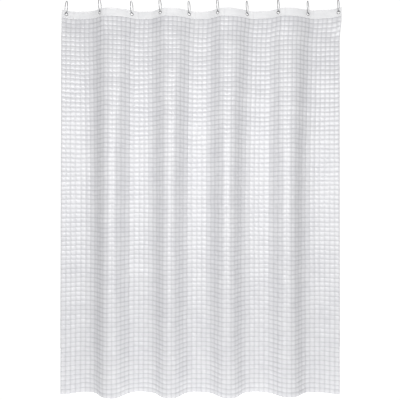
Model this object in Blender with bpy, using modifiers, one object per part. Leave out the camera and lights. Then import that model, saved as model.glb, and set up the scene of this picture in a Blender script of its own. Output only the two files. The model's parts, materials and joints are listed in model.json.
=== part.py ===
"""Shower curtain: embossed film with a smooth welded heading, hung by ten wire rings from a rod.

Metres. +Z is up, +X runs along the rod and the room side faces -Y. The origin is on the axis of
the rod, at the middle of the hung curtain. The film folds like an accordion: one strip hangs from
each ring, and neighbouring strips meet on a vertical fold line halfway between their rings.
"""

import math

import bmesh
import bpy
from mathutils import Matrix
from mathutils import Vector

# The curtain as it hangs, and the distances between neighbouring rings from left to right.
RING_GAPS = (0.162, 0.145, 0.135, 0.134, 0.133, 0.139, 0.143, 0.142, 0.137)
RING_COUNT = len(RING_GAPS) + 1
DROP = 1.8
SIDE_MARGIN = 0.020

# The folds, seen from above. Strips run in turn from back to front (steep) and front to back (gentle).
FRONT_DEPTH = 0.027
BACK_DEPTH = 0.029
EYELET_SHIFT = 0.009
STEEP_ANGLE = math.radians(33)
GENTLE_ANGLE = math.radians(26)
FRONT_TURN = math.radians(12)
BACK_TURN = math.radians(-5)
FLAT_HALF = 0.011
CURVE_STEPS = 8

# The film. Embossing gives the 0.2 mm film an envelope three times as thick.
FILM_THICKNESS = 0.00065
FOLD_GAP = 0.0006
CREASE_SHARE = 0.4
PIECE_GAP = 0.0003

# The smooth doubled heading, with a thicker bead where it is welded to the film.
HEADING_THICKNESS = 0.0005
HEADING_ABOVE = 0.017
HEADING_BELOW = 0.0185
WELD_THICKNESS = 0.0009
WELD_HEIGHT = 0.003

# Rod and rings. The rod itself isn't part of the curtain.
ROD_DIAMETER = 0.025
RING_OUTER = 0.058
WIRE_DIAMETER = 0.0028
RING_POINTS = 29
WIRE_ROUNDNESS = 2
RING_SPLIT = math.radians(1.5)
MIDDLE_YAW = math.radians(11.5)
YAW_STEP = math.radians(3.3)
FIRST_RING_YAW = math.radians(-30)
HANG_GAP = 0.0003
REST_GAP = 0.0008

# Two-part eyelets: a flanged barrel from the front, and a washer that its lip holds at the back.
BORE = 0.0115
BARREL_WALL = 0.00035
FLANGE_OUTER = 0.0158
FLANGE_THICKNESS = 0.00045
WASHER_OUTER = 0.0150
WASHER_THICKNESS = 0.00035
LIP_REACH = 0.0008
LIP_THICKNESS = 0.0003
EYELET_GAP = 0.00015
FLANGE_SOFTNESS = 0.00027
WASHER_SOFTNESS = 0.000175
EYELET_STEPS = 16
HOLE_STEPS = 24
CUTTER_LENGTH = 0.010
MERGE_WITHIN = 0.00001

# How large the strip axes are drawn in the viewport.
AXIS_SIZE = 0.035

# Colour, metallic, roughness and transmission of each material.
EMBOSSED_FILM = ((0.86, 0.87, 0.88), 0.0, 0.35, 0.3)
SMOOTH_HEADING = ((0.88, 0.89, 0.90), 0.0, 0.2, 0.4)
RING_WIRE = ((0.62, 0.62, 0.64), 1.0, 0.2, 0.0)
EYELET_METAL = ((0.50, 0.50, 0.53), 1.0, 0.28, 0.0)

# Heights and radii that follow from the sizes above.
WIRE_RADIUS = WIRE_DIAMETER / 2
RING_RADIUS = RING_OUTER / 2 - WIRE_RADIUS
RING_SLACK = RING_OUTER / 2 - WIRE_DIAMETER - ROD_DIAMETER / 2 - HANG_GAP
RING_HEIGHT = -math.sqrt(RING_SLACK**2 - EYELET_SHIFT**2)
EYELET_HEIGHT = RING_HEIGHT - RING_RADIUS - (BORE / 2 - WIRE_RADIUS - REST_GAP)
HEADING_TOP = EYELET_HEIGHT + HEADING_ABOVE
WELD_TOP = EYELET_HEIGHT - HEADING_BELOW + WELD_HEIGHT
WELD_BOTTOM = EYELET_HEIGHT - HEADING_BELOW
FILM_TOP = WELD_BOTTOM - PIECE_GAP
HEM = HEADING_TOP - DROP
HOLE_RADIUS = BORE / 2 + BARREL_WALL + EYELET_GAP


def clear_scene():
    for old in list(bpy.data.objects):
        bpy.data.objects.remove(old, do_unlink=True)


def new_collection(name):
    made = bpy.data.collections.new(name)
    bpy.context.scene.collection.children.link(made)
    return made


def new_material(name, colour, metallic, roughness, transmission):
    made = bpy.data.materials.new(name)
    made.use_nodes = True
    shader = made.node_tree.nodes["Principled BSDF"]
    shader.inputs["Base Color"].default_value = (*colour, 1.0)
    shader.inputs["Metallic"].default_value = metallic
    shader.inputs["Roughness"].default_value = roughness
    shader.inputs["Transmission Weight"].default_value = transmission
    made.diffuse_color = (*colour, 1.0)
    return made


def is_steep(index):
    return index % 2 == 1


def eyelet_point(index):
    """Where the eyelet of this strip is, seen from above."""
    shift = -EYELET_SHIFT if is_steep(index) else EYELET_SHIFT
    return Vector((sum(RING_GAPS[:index]) - sum(RING_GAPS) / 2, shift))


def fold_point(index):
    """The fold line halfway between strip index's eyelet and the next one, seen from above."""
    depth = -FRONT_DEPTH if is_steep(index) else BACK_DEPTH
    return Vector(((eyelet_point(index).x + eyelet_point(index + 1).x) / 2, depth))


def direction(angle):
    return Vector((math.cos(angle), math.sin(angle)))


def eyelet_angle(index):
    return -STEEP_ANGLE if is_steep(index) else GENTLE_ANGLE


def fold_angle(index):
    return FRONT_TURN if is_steep(index) else BACK_TURN


def curve_between(start, start_way, end, end_way):
    """Points of a smooth curve from start to end, both ends included."""
    reach = (end - start).length
    points = []
    for step in range(CURVE_STEPS + 1):
        t = step / CURVE_STEPS
        points.append(
            start * (2 * t**3 - 3 * t**2 + 1)
            + start_way * reach * (t**3 - 2 * t**2 + t)
            + end * (3 * t**2 - 2 * t**3)
            + end_way * reach * (t**3 - t**2)
        )
    return points


def strip_path(index):
    """The strip seen from above, left to right. It is flat around its eyelet."""
    eyelet = eyelet_point(index)
    way = direction(eyelet_angle(index))
    flat_start = eyelet - way * FLAT_HALF
    flat_end = eyelet + way * FLAT_HALF
    if index == 0:
        points = [eyelet - way * SIDE_MARGIN, flat_start]
    else:
        fold_way = direction(fold_angle(index - 1))
        start = fold_point(index - 1) + fold_way * FOLD_GAP / 2
        points = curve_between(start, fold_way, flat_start, way)
    if index == RING_COUNT - 1:
        points += [flat_end, eyelet + way * SIDE_MARGIN]
    else:
        fold_way = direction(fold_angle(index))
        end = fold_point(index) - fold_way * FOLD_GAP / 2
        points += curve_between(flat_end, way, end, fold_way)
    return points


def place(obj, collection, material, axis, parent):
    """Puts a piece whose mesh is drawn from its joint axis into the scene."""
    obj.data.materials.append(material)
    collection.objects.link(obj)
    obj.parent = parent
    obj.location = axis - parent_origin(parent)
    return obj


def parent_origin(parent):
    origin = Vector((0.0, 0.0, 0.0))
    while parent is not None:
        origin = origin + parent.location
        parent = parent.parent
    return origin


def film_object(name, index, axis, levels):
    """A strip of film between the heights in levels, each a (height, thickness) pair."""
    thickest = max(thickness for _, thickness in levels)
    path = strip_path(index)
    mesh = bpy.data.meshes.new(name)
    obj = bpy.data.objects.new(name, mesh)
    group = obj.vertex_groups.new(name="thickness")
    shape = bmesh.new()
    layer = shape.verts.layers.deform.verify()
    rows = []
    for height, thickness in levels:
        row = []
        for place_on_path, point in enumerate(path):
            vertex = shape.verts.new((point.x - axis.x, point.y - axis.y, height - axis.z))
            creased = (place_on_path == 0 and index > 0) or (
                place_on_path == len(path) - 1 and index < RING_COUNT - 1
            )
            share = CREASE_SHARE if creased else 1.0
            vertex[layer][group.index] = share * thickness / thickest
            row.append(vertex)
        rows.append(row)
    for upper, lower in zip(rows, rows[1:]):
        for column in range(len(path) - 1):
            shape.faces.new((upper[column], lower[column], lower[column + 1], upper[column + 1]))
    shape.to_mesh(mesh)
    shape.free()
    solidify = obj.modifiers.new("film", "SOLIDIFY")
    solidify.thickness = thickest
    solidify.offset = 0.0
    solidify.use_even_offset = True
    solidify.vertex_group = group.name
    return obj


def cylinder_mesh(name, radius, length, steps):
    mesh = bpy.data.meshes.new(name)
    shape = bmesh.new()
    bmesh.ops.create_cone(
        shape,
        cap_ends=True,
        segments=steps,
        radius1=radius,
        radius2=radius,
        depth=length,
    )
    shape.to_mesh(mesh)
    shape.free()
    return mesh


def eyelet_matrix(index):
    """Turns local +Z to the strip's back, square to the film at its eyelet."""
    return Matrix.Rotation(eyelet_angle(index), 4, "Z") @ Matrix.Rotation(-math.pi / 2, 4, "X")


def turned_object(name, profile, steps):
    """A ring turned round local Z from a closed profile of (radius, height) points."""
    mesh = bpy.data.meshes.new(name)
    shape = bmesh.new()
    corners = [shape.verts.new((radius, 0.0, height)) for radius, height in profile]
    for first, second in zip(corners, corners[1:] + corners[:1]):
        shape.edges.new((first, second))
    shape.to_mesh(mesh)
    shape.free()
    obj = bpy.data.objects.new(name, mesh)
    screw = obj.modifiers.new("turned", "SCREW")
    screw.axis = "Z"
    screw.steps = steps
    screw.render_steps = steps
    screw.use_merge_vertices = True
    screw.merge_threshold = MERGE_WITHIN
    screw.use_normal_calculate = True
    return obj


def eyelet_profile():
    """Flange at the front, barrel through the heading, lip rolled over the washer at the back."""
    bore = BORE / 2
    wall = bore + BARREL_WALL
    rim = FLANGE_OUTER / 2
    front = -(HEADING_THICKNESS / 2 + EYELET_GAP)
    face = front - FLANGE_THICKNESS
    lip = -front + WASHER_THICKNESS + EYELET_GAP
    back = lip + LIP_THICKNESS
    return [
        (bore, face + FLANGE_SOFTNESS),
        (bore + FLANGE_SOFTNESS, face),
        (rim - FLANGE_SOFTNESS, face),
        (rim, front - FLANGE_SOFTNESS / 2),
        (rim, front),
        (wall, front),
        (wall, lip),
        (wall + LIP_REACH, lip),
        (wall + LIP_REACH - LIP_THICKNESS / 2, back),
        (bore, back),
    ]


def washer_profile():
    rim = WASHER_OUTER / 2
    near = HEADING_THICKNESS / 2 + EYELET_GAP
    far = near + WASHER_THICKNESS
    return [
        (HOLE_RADIUS, far),
        (rim - WASHER_SOFTNESS, far),
        (rim, far - WASHER_SOFTNESS),
        (rim, near),
        (HOLE_RADIUS, near),
    ]


def ring_yaw(index):
    """The rings fan out along the rod. The first is turned the other way, towards its drawn strip."""
    if index == 0:
        return FIRST_RING_YAW
    return MIDDLE_YAW + (index - (RING_COUNT - 1) / 2) * YAW_STEP


def ring_object(name):
    """A split wire ring in its local YZ plane, its bottom below the origin."""
    curve = bpy.data.curves.new(name, "CURVE")
    curve.dimensions = "3D"
    curve.bevel_depth = WIRE_RADIUS
    curve.bevel_resolution = WIRE_ROUNDNESS
    curve.use_fill_caps = True
    spline = curve.splines.new("POLY")
    spline.points.add(RING_POINTS - 1)
    turn = 2 * math.pi - RING_SPLIT
    for step, point in enumerate(spline.points):
        angle = RING_SPLIT / 2 + turn * step / (RING_POINTS - 1)
        point.co = (
            0.0,
            RING_RADIUS * math.cos(angle),
            RING_HEIGHT + RING_RADIUS * math.sin(angle),
            1.0,
        )
    return bpy.data.objects.new(name, curve)


def build():
    clear_scene()
    curtain = new_collection("shower_curtain")
    cutters = new_collection("cutters")
    embossed = new_material("embossed_film", *EMBOSSED_FILM)
    smooth = new_material("smooth_heading", *SMOOTH_HEADING)
    steel = new_material("ring_wire", *RING_WIRE)
    plated = new_material("eyelet_metal", *EYELET_METAL)

    parent = None
    for index in range(RING_COUNT):
        number = f"{index + 1:02d}"
        eyelet = eyelet_point(index)
        eyelet_axis = Vector((eyelet.x, eyelet.y, 0.0))
        fold = eyelet if index == 0 else fold_point(index - 1)
        axis = Vector((fold.x, fold.y, 0.0))

        strip = bpy.data.objects.new(f"strip_{number}_axis", None)
        strip.empty_display_size = AXIS_SIZE
        curtain.objects.link(strip)
        strip.parent = parent
        strip.location = axis - parent_origin(parent)

        panel = film_object(
            f"panel_{number}",
            index,
            axis,
            [(FILM_TOP, FILM_THICKNESS), (HEM, FILM_THICKNESS)],
        )
        place(panel, curtain, embossed, axis, strip)

        heading = film_object(
            f"header_{number}",
            index,
            axis,
            [
                (HEADING_TOP, HEADING_THICKNESS),
                (WELD_TOP + PIECE_GAP, HEADING_THICKNESS),
                (WELD_TOP, WELD_THICKNESS),
                (WELD_BOTTOM, WELD_THICKNESS),
            ],
        )
        place(heading, curtain, smooth, axis, strip)

        cutter = bpy.data.objects.new(
            f"hole_{number}",
            cylinder_mesh(f"hole_{number}", HOLE_RADIUS, CUTTER_LENGTH, HOLE_STEPS),
        )
        cutter.matrix_world = (
            Matrix.Translation((eyelet.x, eyelet.y, EYELET_HEIGHT)) @ eyelet_matrix(index)
        )
        cutter.hide_render = True
        cutter.display_type = "WIRE"
        cutters.objects.link(cutter)
        hole = heading.modifiers.new("eyelet_hole", "BOOLEAN")
        hole.operation = "DIFFERENCE"
        hole.solver = "EXACT"
        hole.object = cutter

        for name, profile in (("eyelet", eyelet_profile()), ("washer", washer_profile())):
            made = turned_object(f"{name}_{number}", profile, EYELET_STEPS)
            place(made, curtain, plated, Vector((eyelet.x, eyelet.y, EYELET_HEIGHT)), strip)
            made.rotation_euler = eyelet_matrix(index).to_euler()

        ring = ring_object(f"ring_{number}")
        place(ring, curtain, steel, eyelet_axis, None if index == 0 else strip)
        ring.rotation_euler = (0.0, 0.0, -ring_yaw(index))
        parent = strip


build()
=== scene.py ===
"""Shower curtain, studio view: embossed film, welded heading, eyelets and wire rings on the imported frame."""

import json
import math

import bmesh
import bpy
import numpy as np
from mathutils import Matrix, Vector


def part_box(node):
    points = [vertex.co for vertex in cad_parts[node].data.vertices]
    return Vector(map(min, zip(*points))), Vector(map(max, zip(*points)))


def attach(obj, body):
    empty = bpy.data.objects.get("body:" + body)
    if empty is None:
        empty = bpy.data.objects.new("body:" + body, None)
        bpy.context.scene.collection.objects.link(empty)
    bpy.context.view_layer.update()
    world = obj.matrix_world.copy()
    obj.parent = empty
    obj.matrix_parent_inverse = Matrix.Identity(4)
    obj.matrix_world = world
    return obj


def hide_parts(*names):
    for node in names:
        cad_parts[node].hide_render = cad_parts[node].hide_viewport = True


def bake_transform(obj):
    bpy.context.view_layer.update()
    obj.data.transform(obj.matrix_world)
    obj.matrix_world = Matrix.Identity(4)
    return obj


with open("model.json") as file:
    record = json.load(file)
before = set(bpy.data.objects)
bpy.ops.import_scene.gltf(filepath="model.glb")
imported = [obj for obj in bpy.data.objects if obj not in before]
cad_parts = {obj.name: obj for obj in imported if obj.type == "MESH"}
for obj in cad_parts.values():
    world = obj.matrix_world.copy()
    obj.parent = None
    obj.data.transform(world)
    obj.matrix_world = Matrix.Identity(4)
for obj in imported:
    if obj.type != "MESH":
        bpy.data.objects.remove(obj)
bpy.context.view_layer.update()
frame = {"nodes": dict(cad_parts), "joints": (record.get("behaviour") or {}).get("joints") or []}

# ---------------------------------------------------------------- what the frame says
JOINTS = {joint["name"]: joint for joint in frame["joints"]}
RINGS = sum(1 for name in frame["nodes"] if name.startswith("ring_"))
EYELETS = [Vector(JOINTS["draw"]["pos_m"])]
EYELETS += [Vector(JOINTS[f"ring_turn_{k:02d}"]["pos_m"]) for k in range(2, RINGS + 1)]
FOLDS = [Vector(JOINTS[f"fold_{k:02d}"]["pos_m"]) for k in range(1, RINGS)]
EYELET_Z = sum(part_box("eyelet_01")[i].z for i in (0, 1)) / 2
HEADING_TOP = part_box("header_01")[1].z
WELD_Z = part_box("header_01")[0].z
HEM_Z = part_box("panel_01")[0].z
LEFT_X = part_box("panel_01")[0].x
RIGHT_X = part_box("panel_10")[1].x
RING_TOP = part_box("ring_05")[1].z
RING_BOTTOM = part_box("ring_05")[0].z

# ---------------------------------------------------------------- sizes, in metres
STEEP = math.radians(33)
GENTLE = math.radians(26)
FLAT_HALF = 0.011
CELLS_WIDE = 65
CELLS_HIGH = 81
CELL_STOPS = (0.0, 0.09, 0.24, 0.5, 0.76, 0.91)
RELIEF = 0.0022
PILLOW_POWER = 2.6
COLUMN_DEPTH = 0.85
CELL_SPREAD = 0.22
SEED = 7
FILM = 0.00025
HEADING = 0.0005
SETTLE_RUN = 0.05

# The heading's rows: a rolled top edge, even rows, then the weld bead. Its last corner curls upwards.
EDGE_DROPS = np.array([0.0, 0.0006, 0.0014, 0.0022])
EDGE_HALVES = (0.0002, 0.00055, 0.0006, 0.0004)
EVEN_ROWS = 22
EVEN_FROM = 0.0032
EVEN_TO = 0.0046
BEAD_HEIGHTS = np.array([0.0035, 0.0029, 0.0021, 0.0012, 0.0006])
WELD_HALVES = (0.00042, 0.0006, 0.0007, 0.0006, 0.00042)
HEADING_COLUMN = 0.0022
FEWEST_COLUMNS = 20
CURL_RUN = 0.03
CURL_LIFT = 0.004
CURL_CLEAR = 0.010
SPLIT = 0.030

# The ends of the heading from above, and how many points draw each part of its line.
LEFT_SETBACK = 0.010
LEFT_WAY = math.radians(20)
RIGHT_INSET = 0.005
RIGHT_SETBACK = 0.006
RIGHT_WAY = math.radians(-14)
FOLD_POINTS = 40
FLAT_POINTS = 8
END_POINTS = 20

# The folds from above. Every flank's sideways shift from its ring is given at the top, middle and hem.
# The shifts, the depths and the two end flanks are chosen one by one. The frame doesn't give them.
TOP_FOLD = 0.0205
WELD_FOLD = 0.0175
DIP_SHIFT = 0.012
PEAK_SHIFT = -0.026
DIP_SHARES = (1.0, 1.0, 1.0, 0.75, 0.55)
SETTLED = 0.085
DEPTH_HEIGHTS = (0.02, 0.08, 0.185, 0.35, 0.5, 1.0)
DEPTHS = (0.0175, 0.0190, 0.0235, 0.0310, 0.0345, 0.0350)
FLANK_WIDTH = 0.030
STEEP_SHIFTS = (-0.009, -0.006, -0.009)
GENTLE_SHIFTS = (-0.014, -0.044, -0.036)
LAST_TUBE = 0.70
LEFT_CENTRE = EYELETS[0].x + 0.025
LEFT_WIDTH = 0.045
RIGHT_CENTRE = EYELETS[-1].x - 0.035
RIGHT_WIDTH = 0.060
LEFT_OVERHANG = (0.0014, 0.0096)
RIGHT_SHORTFALL = (0.0067, 0.0023)
FREE_EDGE = (-0.005, 0.013)
LAST_DEPTH = 0.004
BODY_POINTS = 700

# Creases left by packing, and how far a row of cells wanders.
CREASE = 0.0010
CREASE_LENGTHS = (0.09, 0.22)
WANDER = 0.0010
WANDER_LENGTHS = (0.07, 0.18)

# Eyelets and rings. The rings' yaws are the part's own.
EYELET_HOLE = 0.0062
PUNCH_DEPTH = 0.012
ROUND_STEPS = 64
WIRE = 0.0014
WIRE_STEPS = 120
WIRE_SIDES = 20
WIRE_GAP = math.radians(1.4)
WIRE_TIP = 0.3
MIDDLE_YAW = math.radians(11.5)
YAW_STEP = math.radians(3.3)
FIRST_RING_YAW = math.radians(-30)

# The studio. Each light has a name, a place, how far above the middle it aims, a size and its watts.
LIGHTS = (
    ("key", (-0.05, -2.6, -0.40), 0.2, (2.3, 0.9), 52.0),
    ("low", (0.2, -2.6, -1.45), -0.3, (1.6, 0.6), 11.0),
    ("back", (0.0, 2.4, 0.1), 0.0, (2.0, 2.0), 36.0),
)
AMBIENT = 0.28
BACKDROP = 1.05
FLOOR_HALF = 1.2
FLOOR_BACK = 0.6
FLOOR_DROP = 0.35
FLOOR_GLOW = 0.72
DISTANCE = 1.9
SCALE = 0.004665
PICTURE = 400
SENSOR = 36.0
CAMERA_X = -0.0082
CAMERA_RISE = 0.012


def is_steep(k):
    """Strips 2, 4, 6... run from a back fold to a front fold. k counts from 1."""
    return k % 2 == 0


def strip_angle(k):
    """The turn of strip k's heading about the vertical, at its eyelet."""
    return -STEEP if is_steep(k) else GENTLE


# ---------------------------------------------------------------- the hanging sheet
def unit(angle):
    return np.array([math.cos(angle), math.sin(angle)])


def hermite(a, ta, b, tb, n):
    """n points from a up to but not including b, as a smooth curve with unit end directions ta and tb."""
    reach = float(np.linalg.norm(b - a))
    t = (np.arange(n) / n)[:, None]
    return (
        a * (2 * t**3 - 3 * t**2 + 1)
        + ta * reach * (t**3 - 2 * t**2 + t)
        + b * (3 * t**2 - 2 * t**3)
        + tb * reach * (t**3 - t**2)
    )


def heading_line(h):
    """The heading seen from above: flat at every eyelet, and flaring towards its top edge."""
    flare = min(1.0, h / WELD_SHARE)
    depth = TOP_FOLD * (1 - flare) + WELD_FOLD * flare
    runs = []
    previous, previous_way = np.array([LEFT_X, EYELETS[0].y - LEFT_SETBACK]), unit(LEFT_WAY)
    for k in range(1, RINGS + 1):
        way = unit(strip_angle(k))
        spot = np.array([EYELETS[k - 1].x, EYELETS[k - 1].y])
        start, end = spot - way * FLAT_HALF, spot + way * FLAT_HALF
        runs.append(hermite(previous, previous_way, start, way, FOLD_POINTS))
        runs.append(hermite(start, way, end, way, FLAT_POINTS))
        previous, previous_way = end, way
        if k < RINGS:
            shift = DIP_SHIFT if k % 2 else PEAK_SHIFT
            fold = depth * (1.0 if k % 2 == 0 else DIP_SHARES[k // 2])
            extreme = np.array([FOLDS[k - 1].x + shift, fold if k % 2 else -fold])
            runs.append(hermite(previous, previous_way, extreme, unit(0.0), FOLD_POINTS))
            previous, previous_way = extreme, unit(0.0)
    right = np.array([RIGHT_X - RIGHT_INSET, EYELETS[-1].y - RIGHT_SETBACK])
    runs.append(hermite(previous, previous_way, right, unit(RIGHT_WAY), END_POINTS))
    runs.append(right[None, :])
    return np.concatenate(runs)


def through(h, top, middle, low):
    """A value that is top at the heading, middle half way down and low at the hem, on one parabola."""
    return top * (1 - h) * (1 - 2 * h) + middle * 4 * h * (1 - h) + low * h * (2 * h - 1)


def body_line(h):
    """The film seen from above: flat-topped tubes, with a flank that sweeps sideways under every ring."""
    depth = float(np.interp(h, DEPTH_HEIGHTS, DEPTHS))
    left = LEFT_X - LEFT_OVERHANG[0] - LEFT_OVERHANG[1] * h
    right = RIGHT_X - RIGHT_SHORTFALL[0] + RIGHT_SHORTFALL[1] * h
    x = np.linspace(left, right, BODY_POINTS)
    edge = FREE_EDGE[0] + FREE_EDGE[1] * h
    y = np.full_like(x, edge)
    flanks = [(LEFT_CENTRE, LEFT_WIDTH, depth - edge)]
    for k in range(2, RINGS):
        shift = through(h, *(STEEP_SHIFTS if is_steep(k) else GENTLE_SHIFTS))
        front = LAST_TUBE if k >= RINGS - 2 else 1.0
        change = depth * (1 + front) * (-1 if is_steep(k) else 1)
        flanks.append((EYELETS[k - 1].x + shift, FLANK_WIDTH, change))
    flanks.append((RIGHT_CENTRE, RIGHT_WIDTH, LAST_DEPTH - depth))
    for centre, width, change in flanks:
        y += change * 0.5 * (1 + np.tanh((x - centre) / width))
    return np.stack([x, y], axis=1)


def run_length(line):
    """The distance along a line at each of its points."""
    return np.concatenate([[0.0], np.cumsum(np.linalg.norm(np.diff(line, axis=0), axis=1))])


def along(line, u):
    """Points at shares u of a line's length, and that length."""
    length = run_length(line)
    at = np.asarray(u) * length[-1]
    return np.stack([np.interp(at, length, line[:, i]) for i in (0, 1)], axis=1), length[-1]


def sheet_points(u, z):
    """The sheet's middle surface at width shares u and heights z: rows by columns by 3."""
    rows = []
    for height in z:
        h = float(np.clip((HEADING_TOP - height) / (HEADING_TOP - HEM_Z), 0.0, 1.0))
        t = float(np.clip((h - WELD_SHARE) / (SETTLED - WELD_SHARE), 0.0, 1.0))
        t = t * t * (3 - 2 * t)
        row = along(heading_line(h), u)[0] * (1 - t) if t < 1 else 0.0
        if t > 0:
            row = row + along(body_line(h), u)[0] * t
        rows.append(np.column_stack([row, np.full(len(u), height)]))
    return np.stack(rows)


WELD_SHARE = (HEADING_TOP - WELD_Z) / (HEADING_TOP - HEM_Z)
FLAT_WIDTH = float(np.mean([along(body_line(h), [0.0])[1] for h in (0.1, 0.3, 0.5, 0.7, 0.9)]))


def share_at(x):
    """The share of the width at which the heading passes this x."""
    line = heading_line(0.0)
    length = run_length(line)
    return float(np.interp(x, line[:, 0], length) / length[-1])


def waves(u, z, lengths, seed, count=7):
    """Soft random waves over the sheet, about -1 to 1, with wavelengths between two lengths in metres."""
    chance = np.random.default_rng(seed)
    across = np.asarray(u)[None, :] * FLAT_WIDTH
    down = np.asarray(z)[:, None]
    total = 0.0
    for _ in range(count):
        angle, phase = chance.uniform(0, math.pi), chance.uniform(0, 2 * math.pi)
        turn = 2 * math.pi / chance.uniform(*lengths)
        total = total + np.sin(turn * (across * math.cos(angle) + down * math.sin(angle)) + phase)
    return total / math.sqrt(count)


def sheet_normals(points):
    """Unit normals that face the room, from the neighbours of each point."""
    across = np.gradient(points, axis=1)
    down = np.gradient(points, axis=0)
    normal = np.cross(down, across)
    normal /= np.linalg.norm(normal, axis=2, keepdims=True)
    return np.where(normal[:, :, 1:2] > 0, -normal, normal)


def shell(name, front, back, values=None):
    """A closed thin sheet from two grids of points, front facing the room, with flat-shaded side walls."""
    rows, columns = front.shape[:2]
    count = rows * columns
    index = np.arange(count).reshape(rows, columns)
    a, b = index[:-1, :-1], index[1:, :-1]
    c, d = index[1:, 1:], index[:-1, 1:]
    faces = [np.stack([a, b, c, d], axis=2).reshape(-1, 4)]
    faces.append(np.stack([d, c, b, a], axis=2).reshape(-1, 4) + count)
    sheets = 2 * (rows - 1) * (columns - 1)
    for line in (index[:, 0], index[-1, :], index[::-1, -1], index[0, ::-1]):
        one, two = line[:-1], line[1:]
        faces.append(np.stack([one, one + count, two + count, two], axis=1))
    faces = np.concatenate(faces)
    mesh = bpy.data.meshes.new(name)
    mesh.vertices.add(2 * count)
    points = np.concatenate([front.reshape(-1, 3), back.reshape(-1, 3)])
    mesh.vertices.foreach_set("co", points.ravel())
    mesh.loops.add(4 * len(faces))
    mesh.loops.foreach_set("vertex_index", faces.ravel())
    mesh.polygons.add(len(faces))
    mesh.polygons.foreach_set("loop_start", np.arange(0, 4 * len(faces), 4))
    mesh.polygons.foreach_set("loop_total", np.full(len(faces), 4))
    mesh.polygons.foreach_set("use_smooth", np.arange(len(faces)) < sheets)
    mesh.update(calc_edges=True)
    mesh.validate()
    if values is not None:
        layer = mesh.attributes.new("relief", "FLOAT", "POINT")
        both = np.concatenate([values.ravel(), values.ravel()]).astype(np.float32)
        layer.data.foreach_set("value", both)
    obj = bpy.data.objects.new(name, mesh)
    bpy.context.scene.collection.objects.link(obj)
    return obj


def pillow(share):
    """Height across one cell: a dome that falls to the groove on either side."""
    return 1 - np.abs(2 * share - 1) ** PILLOW_POWER


def cell_heights(share_u, share_v):
    """Embossing height from 0 in the grooves to about 1, a little different in every cell."""
    chance = np.random.default_rng(SEED)
    stops = len(CELL_STOPS)
    spread = chance.uniform(-1, 1, (3, CELLS_HIGH + 1, CELLS_WIDE + 1)) * CELL_SPREAD
    rise, tip_u, tip_v = (
        np.repeat(np.repeat(grid, stops, axis=0), stops, axis=1)[: len(share_v), : len(share_u)]
        for grid in spread
    )
    across = 1 - COLUMN_DEPTH * (1 - pillow(share_u))[None, :]
    down = pillow(share_v)[:, None]
    tilt_u = 2 * tip_u * (share_u - 0.5)[None, :]
    tilt_v = 2 * tip_v * (share_v - 0.5)[:, None]
    shaped = 1 + rise + tilt_u + tilt_v
    inner = np.minimum(down, pillow(share_u)[None, :])
    return across * down * (1 + (shaped - 1) * inner)


def cell_shares(cells):
    """Positions in cells, and each one's share of the way across its own cell."""
    stops = np.array(CELL_STOPS)
    at = (np.arange(cells)[:, None] + stops[None, :]).ravel()
    share = np.tile(stops, cells)
    return np.append(at, cells), np.append(share, 0.0)


# ---------------------------------------------------------------- materials
def material(name, colour, roughness, metallic=0.0):
    made = bpy.data.materials.new(name)
    made.use_nodes = True
    tree = made.node_tree
    shader = tree.nodes["Principled BSDF"]
    shader.inputs["Base Color"].default_value = (*colour, 1.0)
    shader.inputs["Roughness"].default_value = roughness
    shader.inputs["Metallic"].default_value = metallic
    return made, tree, shader


def node(tree, kind, **settings):
    made = tree.nodes.new(kind)
    for key, value in settings.items():
        setattr(made, key, value)
    return made


def noise(tree, scale, detail=4.0, roughness=0.55, stretch=(1.0, 1.0, 1.0)):
    where = node(tree, "ShaderNodeTexCoord")
    squeeze = node(tree, "ShaderNodeMapping")
    squeeze.inputs["Scale"].default_value = stretch
    made = node(tree, "ShaderNodeTexNoise")
    made.inputs["Scale"].default_value = scale
    made.inputs["Detail"].default_value = detail
    made.inputs["Roughness"].default_value = roughness
    tree.links.new(where.outputs["Object"], squeeze.inputs["Vector"])
    tree.links.new(squeeze.outputs["Vector"], made.inputs["Vector"])
    return made.outputs["Fac"]


def ramp(tree, source, stops):
    made = node(tree, "ShaderNodeValToRGB")
    band = made.color_ramp
    while len(band.elements) < len(stops):
        band.elements.new(0.5)
    for element, (place, colour) in zip(band.elements, stops):
        element.position = place
        element.color = (*colour, 1.0)
    tree.links.new(source, made.inputs["Fac"])
    return made.outputs["Color"]


def bump(tree, shader, source, strength, distance):
    made = node(tree, "ShaderNodeBump")
    made.inputs["Strength"].default_value = strength
    made.inputs["Distance"].default_value = distance
    tree.links.new(source, made.inputs["Height"])
    tree.links.new(made.outputs["Normal"], shader.inputs["Normal"])


def map_range(tree, source, low, high):
    made = node(tree, "ShaderNodeMapRange")
    made.inputs["To Min"].default_value = low
    made.inputs["To Max"].default_value = high
    tree.links.new(source, made.inputs["Value"])
    return made.outputs["Result"]


def film_material():
    made, tree, shader = material("film_with_painted_groove_shade", (0.86, 0.865, 0.875), 0.34)
    relief = node(tree, "ShaderNodeAttribute", attribute_name="relief")
    # Painted shade: the relief height darkens the base colour from the cell tops down into the grooves, where
    # shade falls.
    colour = ramp(
        tree,
        relief.outputs["Fac"],
        [(0.0, (0.58, 0.58, 0.60)), (0.3, (0.73, 0.73, 0.75)), (1.0, (0.83, 0.83, 0.85))],
    )
    cloud = noise(tree, 9.0, 5.0)
    tint = ramp(tree, cloud, [(0.3, (0.94, 0.94, 0.95)), (0.7, (1.0, 1.0, 1.0))])
    mix = node(tree, "ShaderNodeMix", data_type="RGBA", blend_type="MULTIPLY")
    mix.inputs["Factor"].default_value = 1.0
    tree.links.new(colour, mix.inputs[6])
    tree.links.new(tint, mix.inputs[7])
    tree.links.new(mix.outputs[2], shader.inputs["Base Color"])
    fine = noise(tree, 900.0, 3.0)
    tree.links.new(map_range(tree, cloud, 0.26, 0.40), shader.inputs["Roughness"])
    bump(tree, shader, fine, 0.12, 0.0003)
    shader.inputs["IOR"].default_value = 1.48
    shader.inputs["Alpha"].default_value = 0.92
    shader.inputs["Coat Weight"].default_value = 0.3
    shader.inputs["Coat Roughness"].default_value = 0.18
    return made


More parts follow.
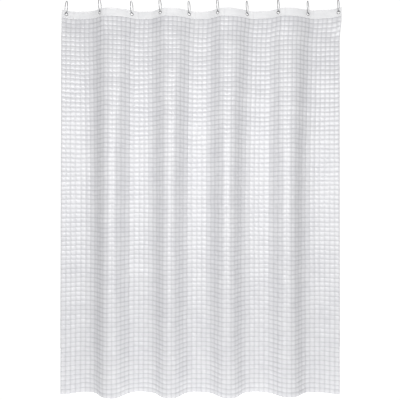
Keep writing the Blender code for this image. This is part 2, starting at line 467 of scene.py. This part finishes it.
def heading_material():
    made, tree, shader = material("film_heading", (0.90, 0.905, 0.915), 0.2)
    cloud = noise(tree, 14.0, 4.0, stretch=(1.0, 1.0, 3.0))
    tint = ramp(tree, cloud, [(0.3, (0.86, 0.865, 0.88)), (0.7, (0.93, 0.93, 0.94))])
    tree.links.new(tint, shader.inputs["Base Color"])
    tree.links.new(map_range(tree, cloud, 0.11, 0.22), shader.inputs["Roughness"])
    bump(tree, shader, noise(tree, 90.0, 3.0, stretch=(1.0, 1.0, 0.25)), 0.35, 0.0008)
    shader.inputs["IOR"].default_value = 1.48
    shader.inputs["Alpha"].default_value = 0.68
    return made


def metal_material(name, colour, roughness, scale):
    made, tree, shader = material(name, colour, roughness, 1.0)
    brushed = noise(tree, scale, 3.0)
    dark = tuple(c * 0.82 for c in colour)
    tree.links.new(ramp(tree, brushed, [(0.3, dark), (0.65, colour)]), shader.inputs["Base Color"])
    tree.links.new(map_range(tree, brushed, roughness * 0.8, roughness * 1.35), shader.inputs["Roughness"])
    bump(tree, shader, brushed, 0.06, 0.0001)
    return made


FILM_MATERIAL = film_material()
HEADING_MATERIAL = heading_material()
WIRE_MATERIAL = metal_material("wire_chrome", (0.32, 0.32, 0.34), 0.2, 900.0)
PLATE_MATERIAL = metal_material("eyelet_plate", (0.22, 0.22, 0.24), 0.24, 1400.0)


# ---------------------------------------------------------------- embossed film
at_u, share_u = cell_shares(CELLS_WIDE)
at_v, share_v = cell_shares(CELLS_HIGH)
FILM_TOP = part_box("panel_01")[1].z
film_u = at_u / CELLS_WIDE
film_z = FILM_TOP - (FILM_TOP - HEM_Z) * at_v / CELLS_HIGH
middle = sheet_points(film_u, film_z)
settle = np.clip((FILM_TOP - film_z) / SETTLE_RUN, 0, 1)[:, None]
middle[:, :, 2] += waves(film_u, film_z, WANDER_LENGTHS, SEED + 2) * WANDER * settle
creases = waves(film_u, film_z, CREASE_LENGTHS, SEED + 1) * CREASE * settle
middle += sheet_normals(middle) * creases[:, :, None]
facing = sheet_normals(middle)
height = cell_heights(share_u, share_v)
STOPS = len(CELL_STOPS)
edges = [0]
for k in range(2, RINGS):
    cell = round(share_at(EYELETS[k - 1].x) * CELLS_WIDE)
    edges.append(cell * STOPS)
edges.append(CELLS_WIDE * STOPS)
offset = (height[:, :, None] - 0.5) * RELIEF
front_points = middle + facing * (offset + FILM / 2)
back_points = middle + facing * (offset - FILM / 2)
for k in range(1, RINGS):
    part = slice(edges[k - 1], edges[k] + 1)
    piece = shell(f"film_{k:02d}", front_points[:, part], back_points[:, part], height[:, part])
    piece.data.materials.append(FILM_MATERIAL)
    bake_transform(piece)
    nodes = [f"panel_{k:02d}"] + ([f"panel_{RINGS:02d}"] if k == RINGS - 1 else [])
    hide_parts(*nodes)


# ---------------------------------------------------------------- heading
def heading_grid(u_from, u_to, columns):
    """Front and back points of a piece of the heading, with its weld bead along the bottom."""
    u = np.linspace(u_from, u_to, columns)
    even = np.linspace(HEADING_TOP - EVEN_FROM, WELD_Z + EVEN_TO, EVEN_ROWS)
    z = np.concatenate([HEADING_TOP - EDGE_DROPS, even, WELD_Z + BEAD_HEIGHTS, [WELD_Z]])
    points = sheet_points(u, z)
    rise = np.clip((u - share_at(EYELETS[-2].x - CURL_RUN)) / CURL_RUN, 0, 1)
    lift = CURL_LIFT * rise * rise * (3 - 2 * rise)
    share = np.clip((z - EYELET_Z - CURL_CLEAR) / (HEADING_TOP - EYELET_Z - CURL_CLEAR), 0, 1)
    points[:, :, 2] = z[:, None] + share[:, None] * lift[None, :]
    normal = sheet_normals(points)
    half = np.full(len(z), HEADING / 2)
    bead = len(EDGE_DROPS) + EVEN_ROWS
    half[bead : bead + len(WELD_HALVES)] = WELD_HALVES
    half[: len(EDGE_HALVES)] = EDGE_HALVES
    out = normal * half[:, None, None]
    return points + out, points - out


def eyelet_matrix(k):
    """Puts a shape made along +Z into eyelet k's place, facing square to its strip."""
    turn = Matrix.Rotation(strip_angle(k), 4, "Z") @ Matrix.Rotation(-math.pi / 2, 4, "X")
    return Matrix.Translation((EYELETS[k - 1].x, EYELETS[k - 1].y, EYELET_Z)) @ turn


def punch(obj, k):
    """Cuts the round hole of eyelet k, counted from 1, through the heading."""
    mesh = bpy.data.meshes.new("punch")
    shape = bmesh.new()
    bmesh.ops.create_cone(
        shape,
        cap_ends=True,
        segments=ROUND_STEPS,
        radius1=EYELET_HOLE,
        radius2=EYELET_HOLE,
        depth=PUNCH_DEPTH,
    )
    bmesh.ops.transform(shape, matrix=eyelet_matrix(k), verts=shape.verts)
    shape.to_mesh(mesh)
    shape.free()
    cutter = bpy.data.objects.new("punch", mesh)
    bpy.context.scene.collection.objects.link(cutter)
    cut = obj.modifiers.new("hole", "BOOLEAN")
    cut.operation = "DIFFERENCE"
    cut.solver = "EXACT"
    cut.object = cutter
    bpy.context.view_layer.update()
    graph = bpy.context.evaluated_depsgraph_get()
    done = bpy.data.meshes.new_from_object(obj.evaluated_get(graph))
    obj.modifiers.clear()
    old = obj.data
    obj.data = done
    bpy.data.meshes.remove(old)
    bpy.data.objects.remove(cutter)
    bpy.data.meshes.remove(mesh)


cuts = [0.0] + [share_at(EYELETS[k].x + SPLIT) for k in range(RINGS - 1)] + [1.0]
for k in range(1, RINGS + 1):
    u_from, u_to = cuts[k - 1], cuts[k]
    columns = max(FEWEST_COLUMNS, int((u_to - u_from) * FLAT_WIDTH / HEADING_COLUMN))
    front, back = heading_grid(u_from, u_to, columns)
    piece = shell(f"heading_{k:02d}", front, back)
    punch(piece, k)
    piece.data.materials.append(HEADING_MATERIAL)
    if k == 1:
        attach(piece, "strip_01")
    else:
        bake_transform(piece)
    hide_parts(f"header_{k:02d}")


# ---------------------------------------------------------------- eyelets and rings
def placed(name, shape, matrix):
    """Moves a shape into place and makes it a smooth object."""
    bmesh.ops.recalc_face_normals(shape, faces=shape.faces)
    bmesh.ops.transform(shape, matrix=matrix, verts=shape.verts)
    mesh = bpy.data.meshes.new(name)
    shape.to_mesh(mesh)
    shape.free()
    for face in mesh.polygons:
        face.use_smooth = True
    obj = bpy.data.objects.new(name, mesh)
    bpy.context.scene.collection.objects.link(obj)
    return obj


def turned(name, profile, matrix):
    """A smooth ring turned round its axis from a closed profile of (radius, height) points."""
    shape = bmesh.new()
    loops = []
    for step in range(ROUND_STEPS):
        a = 2 * math.pi * step / ROUND_STEPS
        loops.append([shape.verts.new((r * math.cos(a), r * math.sin(a), h)) for r, h in profile])
    for one, two in zip(loops, loops[1:] + loops[:1]):
        for i in range(len(profile)):
            j = (i + 1) % len(profile)
            shape.faces.new((one[i], two[i], two[j], one[j]))
    return placed(name, shape, matrix)


def rounded(corners, radius, steps=4):
    """The closed profile with each corner rounded by up to radius."""
    out = []
    count = len(corners)
    for i in range(count):
        before, here, after = (np.array(corners[j % count], float) for j in (i - 1, i, i + 1))
        a, b = before - here, after - here
        reach = min(radius, 0.45 * np.linalg.norm(a), 0.45 * np.linalg.norm(b))
        a = here + a / np.linalg.norm(a) * reach
        b = here + b / np.linalg.norm(b) * reach
        for step in range(steps + 1):
            t = step / steps
            out.append(tuple(a * (1 - t) ** 2 + here * 2 * t * (1 - t) + b * t * t))
    return out


EYELET_PROFILE = rounded(
    [
        (0.00575, -0.00085),
        (0.0079, -0.00085),
        (0.0079, -0.0004),
        (0.0061, -0.0004),
        (0.0061, 0.0009),
        (0.0069, 0.0009),
        (0.0069, 0.0012),
        (0.00575, 0.0012),
    ],
    0.0003,
)
WASHER_PROFILE = rounded(
    [(0.00625, 0.0004), (0.0075, 0.0004), (0.0075, 0.00075), (0.00625, 0.00075)],
    0.00012,
)


def wire_ring(name, spot, yaw):
    """A round wire ring, split at the back, its ends drawn in a little."""
    radius = (RING_TOP - RING_BOTTOM) / 2 - WIRE
    centre = (RING_TOP + RING_BOTTOM) / 2
    sweep = 2 * math.pi - WIRE_GAP
    shape = bmesh.new()
    loops = []
    for i in range(WIRE_STEPS + 1):
        a = WIRE_GAP / 2 + sweep * i / WIRE_STEPS
        end = min(i, WIRE_STEPS - i) * sweep / WIRE_STEPS * radius
        thick = WIRE
        if end < WIRE:
            bulge = math.sqrt(max(0.0, 1 - (1 - min(end / WIRE, 1)) ** 2))
            thick = WIRE * (bulge * (1 - WIRE_TIP) + WIRE_TIP)
        core = Vector((0.0, radius * math.cos(a), centre + radius * math.sin(a)))
        out = Vector((0.0, math.cos(a), math.sin(a)))
        side = Vector((1.0, 0.0, 0.0))
        loop = []
        for j in range(WIRE_SIDES):
            b = 2 * math.pi * j / WIRE_SIDES
            loop.append(shape.verts.new(core + out * thick * math.cos(b) + side * thick * math.sin(b)))
        loops.append(loop)
    for one, two in zip(loops, loops[1:]):
        for i in range(WIRE_SIDES):
            j = (i + 1) % WIRE_SIDES
            shape.faces.new((one[i], one[j], two[j], two[i]))
    shape.faces.new(loops[0][::-1])
    shape.faces.new(loops[-1])
    return placed(name, shape, Matrix.Translation((spot.x, spot.y, 0.0)) @ Matrix.Rotation(-yaw, 4, "Z"))


def ring_yaw(k):
    """The rings fan out along the rod. The first is turned the other way."""
    if k == 1:
        return FIRST_RING_YAW
    return MIDDLE_YAW + (k - (RINGS + 1) / 2) * YAW_STEP


for k in range(1, RINGS + 1):
    for name, profile in (("eyelet", EYELET_PROFILE), ("washer", WASHER_PROFILE)):
        piece = turned(f"{name}_fine_{k:02d}", profile, eyelet_matrix(k))
        piece.data.materials.append(PLATE_MATERIAL)
        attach(piece, f"strip_{k:02d}")
        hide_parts(f"{name}_{k:02d}")
    ring = wire_ring(f"ring_fine_{k:02d}", EYELETS[k - 1], ring_yaw(k))
    ring.data.materials.append(WIRE_MATERIAL)
    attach(ring, f"ring_{k:02d}")
    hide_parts(f"ring_{k:02d}")


# ---------------------------------------------------------------- studio
def area_light(name, place, target, size, power):
    data = bpy.data.lights.new(name, "AREA")
    data.shape = "RECTANGLE"
    data.size, data.size_y = size
    data.energy = power
    obj = bpy.data.objects.new(name, data)
    bpy.context.scene.collection.objects.link(obj)
    obj.location = place
    obj.rotation_euler = (Vector(target) - Vector(place)).to_track_quat("-Z", "Y").to_euler()


scene = bpy.context.scene
scene.view_settings.view_transform = "Standard"
MIDDLE = Vector((0.0, 0.0, (HEADING_TOP + HEM_Z) / 2))

floor_mesh = bpy.data.meshes.new("floor")
floor_shape = bmesh.new()
bmesh.ops.create_grid(floor_shape, x_segments=2, y_segments=2, size=FLOOR_HALF)
floor_shape.to_mesh(floor_mesh)
floor_shape.free()
floor = bpy.data.objects.new("floor", floor_mesh)
floor.location = (0.0, FLOOR_BACK, HEM_Z - FLOOR_DROP)
scene.collection.objects.link(floor)
floor_look, floor_tree, floor_shader = material("floor_pale", (0.95, 0.95, 0.95), 0.9)
floor_shader.inputs["Emission Color"].default_value = (1.0, 1.0, 1.0, 1.0)
floor_shader.inputs["Emission Strength"].default_value = FLOOR_GLOW
floor_mesh.materials.append(floor_look)

world = bpy.data.worlds.new("studio")
scene.world = world
world.use_nodes = True
sky = world.node_tree.nodes["Background"]
sky.inputs["Color"].default_value = (1.0, 1.0, 1.0, 1.0)
path = world.node_tree.nodes.new("ShaderNodeLightPath")
strength = world.node_tree.nodes.new("ShaderNodeMapRange")
strength.inputs["To Min"].default_value = AMBIENT
strength.inputs["To Max"].default_value = BACKDROP
world.node_tree.links.new(path.outputs["Is Camera Ray"], strength.inputs["Value"])
world.node_tree.links.new(strength.outputs["Result"], sky.inputs["Strength"])

for name, place, above, size, watts in LIGHTS:
    area_light(name, place, MIDDLE + Vector((0.0, 0.0, above)), size, watts)

camera_data = bpy.data.cameras.new("camera")
camera_data.sensor_width = SENSOR
camera_data.lens = SENSOR * DISTANCE / (PICTURE * SCALE)
camera = bpy.data.objects.new("camera", camera_data)
scene.collection.objects.link(camera)
camera.location = (CAMERA_X, -DISTANCE, (HEADING_TOP + HEM_Z) / 2 + CAMERA_RISE)
camera.rotation_euler = (math.pi / 2, 0.0, 0.0)
scene.camera = camera
